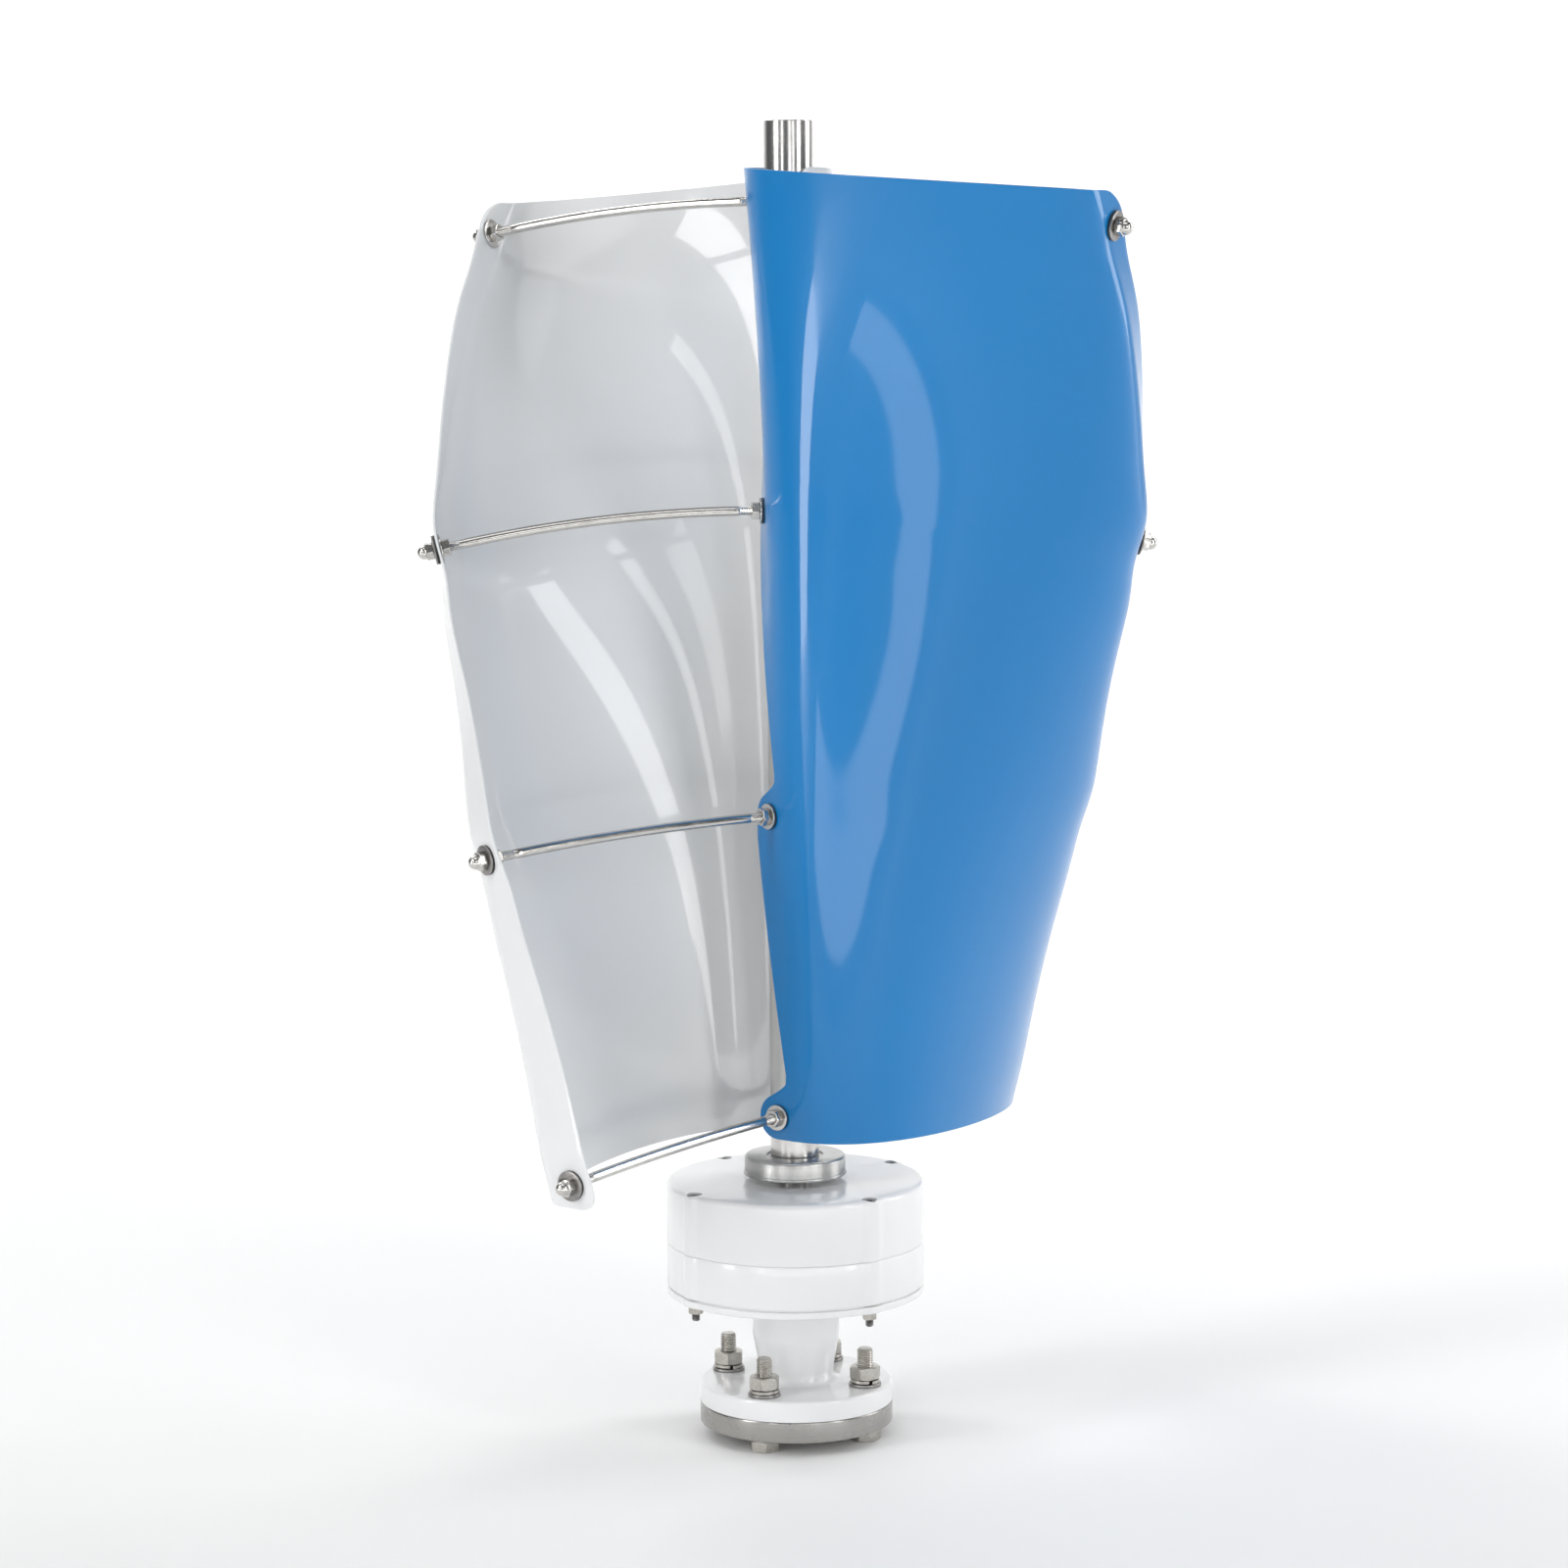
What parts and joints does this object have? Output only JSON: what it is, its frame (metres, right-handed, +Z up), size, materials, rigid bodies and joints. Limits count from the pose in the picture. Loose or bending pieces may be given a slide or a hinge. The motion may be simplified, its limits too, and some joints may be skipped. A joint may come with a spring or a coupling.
{
  "type": "vertical axis wind turbine",
  "caption": "Helical two-blade vertical axis wind rotor, one blue and one white scoop blade on a tube shaft, over a round direct-drive generator with a bolted mast flange.",
  "frame": {"origin": "centre of the mast flange's underside, on the rotor's axis", "axes": "+Z up along the rotor's axis; the blue blade's upper half is on the +X side and the white blade's on the -X side, with the open side of the white blade towards -Y"},
  "size_m": [0.4522, 0.3648, 0.8114],
  "materials": {
    "blue_paint": "glossy blue powder coat on aluminium sheet",
    "white_paint": "glossy white powder coat on aluminium sheet",
    "white_enamel": "gloss white enamel on cast aluminium",
    "polished_stainless": "polished stainless tube",
    "stainless": "bright stainless rod and hardware",
    "zinc_steel": "bright zinc-plated steel",
    "machined_steel": "turned mild steel, fine lathe lines",
    "dark_steel": "black oxide steel",
    "bearing_steel": "ground bearing steel",
    "magnet_plating": "nickel-plated magnets",
    "turned_aluminium": "turned aluminium",
    "resin": "cast resin",
    "copper_wire": "enamelled copper winding",
    "black_rubber": "black rubber"
  },
  "bodies": {
    "base": {"mast_flange": "machined_steel", "base_casting": "white_enamel", "lower_shell": "white_enamel", "upper_shell": "white_enamel", "flange_bolts": "zinc_steel", "flange_nuts": "zinc_steel", "flat_washers": "zinc_steel", "head_washers": "zinc_steel", "spring_washers": "zinc_steel", "housing_bolts": "dark_steel", "housing_nuts": "zinc_steel", "bearing_outer_rings": "bearing_steel", "bearing_balls": "bearing_steel", "stator_disc": "resin", "stator_coils": "copper_wire", "wire_grommet": "black_rubber", "shaft_seal": "black_rubber"},
    "rotor": {"generator_shaft": "machined_steel", "shaft_circlip": "dark_steel", "bearing_inner_rings": "bearing_steel", "magnet_plates": "machined_steel", "magnets": "magnet_plating", "plate_spacers": "machined_steel", "hub": "turned_aluminium", "hub_set_screws": "dark_steel", "shaft_sleeve": "turned_aluminium", "rotor_shaft": "polished_stainless", "shaft_plug": "polished_stainless", "blue_blade": "blue_paint", "white_blade": "white_paint", "shaft_rubber_washers": "black_rubber", "shaft_steel_washers": "stainless", "shaft_nuts": "stainless", "tip_inner_washers": "stainless", "tip_inner_nuts": "stainless", "tip_rubber_washers": "black_rubber", "tip_outer_washers": "stainless", "cap_nuts": "stainless", "blue_tie_rod_1": "stainless", "white_tie_rod_1": "stainless", "blue_tie_rod_2": "stainless", "white_tie_rod_2": "stainless", "blue_tie_rod_3": "stainless", "white_tie_rod_3": "stainless", "blue_tie_rod_4": "stainless", "white_tie_rod_4": "stainless"}
  },
  "joints": [
    {"name": "rotor_spin", "type": "hinge", "parent": "base", "child": "rotor", "pos_m": [0, 0, 0], "axis": [0, 0, 1], "continuous": true}
  ]
}
